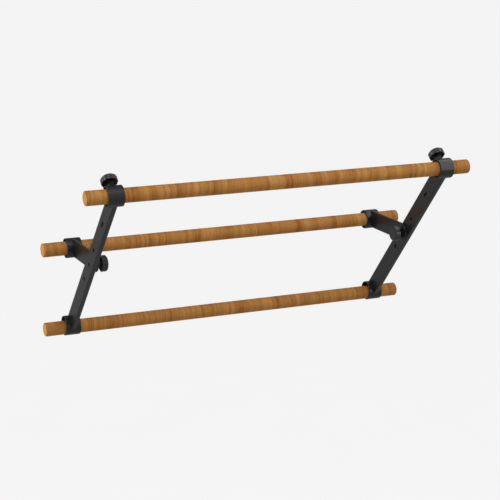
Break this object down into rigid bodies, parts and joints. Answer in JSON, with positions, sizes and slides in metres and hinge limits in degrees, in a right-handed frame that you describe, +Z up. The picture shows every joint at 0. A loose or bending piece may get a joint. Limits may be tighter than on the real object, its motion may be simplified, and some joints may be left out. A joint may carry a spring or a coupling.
{
  "type": "pull up bar",
  "caption": "Wall pull-up bar: a wooden grip bar held out in front of two rear bars by leaning steel arms, with folding short arms and hand knobs.",
  "frame": {"origin": "middle of the bottom bar, on its axis", "axes": "+X along the bars to the right-hand bracket, +Y back towards the wall, +Z up"},
  "size_m": [1, 0.4113, 0.4745],
  "materials": {
    "oak_grip": "clear satin lacquer",
    "oak_rear": "clear satin lacquer",
    "powder_coat": "fine-textured matt powder coat",
    "liner_plastic": "moulded black plastic",
    "pad_plastic": "natural nylon",
    "knob_plastic": "moulded black plastic, satin",
    "zinc": "black zinc plate",
    "black_oxide": "black oxide"
  },
  "bodies": {
    "frame": {"bottom_bar": "oak_rear", "left_long_arm": "powder_coat", "left_top_collar": "powder_coat", "left_bottom_collar": "powder_coat", "left_top_liner": "liner_plastic", "left_clamp_nut": "powder_coat", "left_bottom_set_screw": "black_oxide", "right_long_arm": "powder_coat", "right_top_collar": "powder_coat", "right_bottom_collar": "powder_coat", "right_top_liner": "liner_plastic", "right_clamp_nut": "powder_coat", "right_bottom_set_screw": "black_oxide"},
    "rear_link": {"middle_bar": "oak_rear", "left_short_arm": "powder_coat", "left_middle_collar": "powder_coat", "left_middle_liner": "liner_plastic", "left_middle_set_screw": "black_oxide", "right_short_arm": "powder_coat", "right_middle_collar": "powder_coat", "right_middle_liner": "liner_plastic", "right_middle_set_screw": "black_oxide"},
    "grip_bar": {"top_bar": "oak_grip"},
    "left_clamp_foot": {"left_clamp_pad": "pad_plastic"},
    "left_clamp_handle": {"left_clamp_knob": "knob_plastic", "left_clamp_screw": "zinc"},
    "left_pivot_ring": {"left_pivot_washer": "zinc"},
    "left_pivot_handle": {"left_pivot_knob": "knob_plastic", "left_pivot_screw": "zinc"},
    "right_clamp_foot": {"right_clamp_pad": "pad_plastic"},
    "right_clamp_handle": {"right_clamp_knob": "knob_plastic", "right_clamp_screw": "zinc"},
    "right_pivot_ring": {"right_pivot_washer": "zinc"},
    "right_pivot_handle": {"right_pivot_knob": "knob_plastic", "right_pivot_screw": "zinc"}
  },
  "joints": [
    {"name": "rear_link_fold", "type": "hinge", "parent": "frame", "child": "rear_link", "pos_m": [0, -0.17933, 0.20396], "axis": [1, 0, 0], "range_deg": [-32, 115]},
    {"name": "grip_bar_turn", "type": "hinge", "parent": "frame", "child": "grip_bar", "pos_m": [0, -0.36133, 0.4061], "axis": [1, 0, 0], "continuous": true},
    {"name": "left_clamp_travel", "type": "slide", "parent": "frame", "child": "left_clamp_foot", "axis": [0, 0.7431, 0.6691], "range_m": [0, 0.00451]},
    {"name": "left_clamp_turn", "type": "hinge", "parent": "left_clamp_foot", "child": "left_clamp_handle", "pos_m": [-0.43, -0.3316, 0.43286], "axis": [0, 0.7431, 0.6691], "range_deg": [0, 1080]},
    {"name": "left_pivot_travel", "type": "slide", "parent": "frame", "child": "left_pivot_ring", "axis": [1, 0, 0], "range_m": [0, 0.00901]},
    {"name": "left_pivot_turn", "type": "hinge", "parent": "left_pivot_ring", "child": "left_pivot_handle", "pos_m": [-0.4078, -0.17933, 0.20396], "axis": [1, 0, 0], "range_deg": [0, 2160]},
    {"name": "right_clamp_travel", "type": "slide", "parent": "frame", "child": "right_clamp_foot", "axis": [0, 0.7431, 0.6691], "range_m": [0, 0.00451]},
    {"name": "right_clamp_turn", "type": "hinge", "parent": "right_clamp_foot", "child": "right_clamp_handle", "pos_m": [0.43, -0.3316, 0.43286], "axis": [0, 0.7431, 0.6691], "range_deg": [0, 1080]},
    {"name": "right_pivot_travel", "type": "slide", "parent": "frame", "child": "right_pivot_ring", "axis": [-1, 0, 0], "range_m": [0, 0.00901]},
    {"name": "right_pivot_turn", "type": "hinge", "parent": "right_pivot_ring", "child": "right_pivot_handle", "pos_m": [0.4078, -0.17933, 0.20396], "axis": [-1, 0, 0], "range_deg": [0, 2160]}
  ],
  "couplings": [
    {"joint": "left_clamp_travel", "follows": "left_clamp_turn", "m_per_rad": 0.00023873},
    {"joint": "left_pivot_travel", "follows": "left_pivot_turn", "m_per_rad": 0.00023873},
    {"joint": "right_clamp_travel", "follows": "right_clamp_turn", "m_per_rad": 0.00023873},
    {"joint": "right_pivot_travel", "follows": "right_pivot_turn", "m_per_rad": 0.00023873}
  ]
}
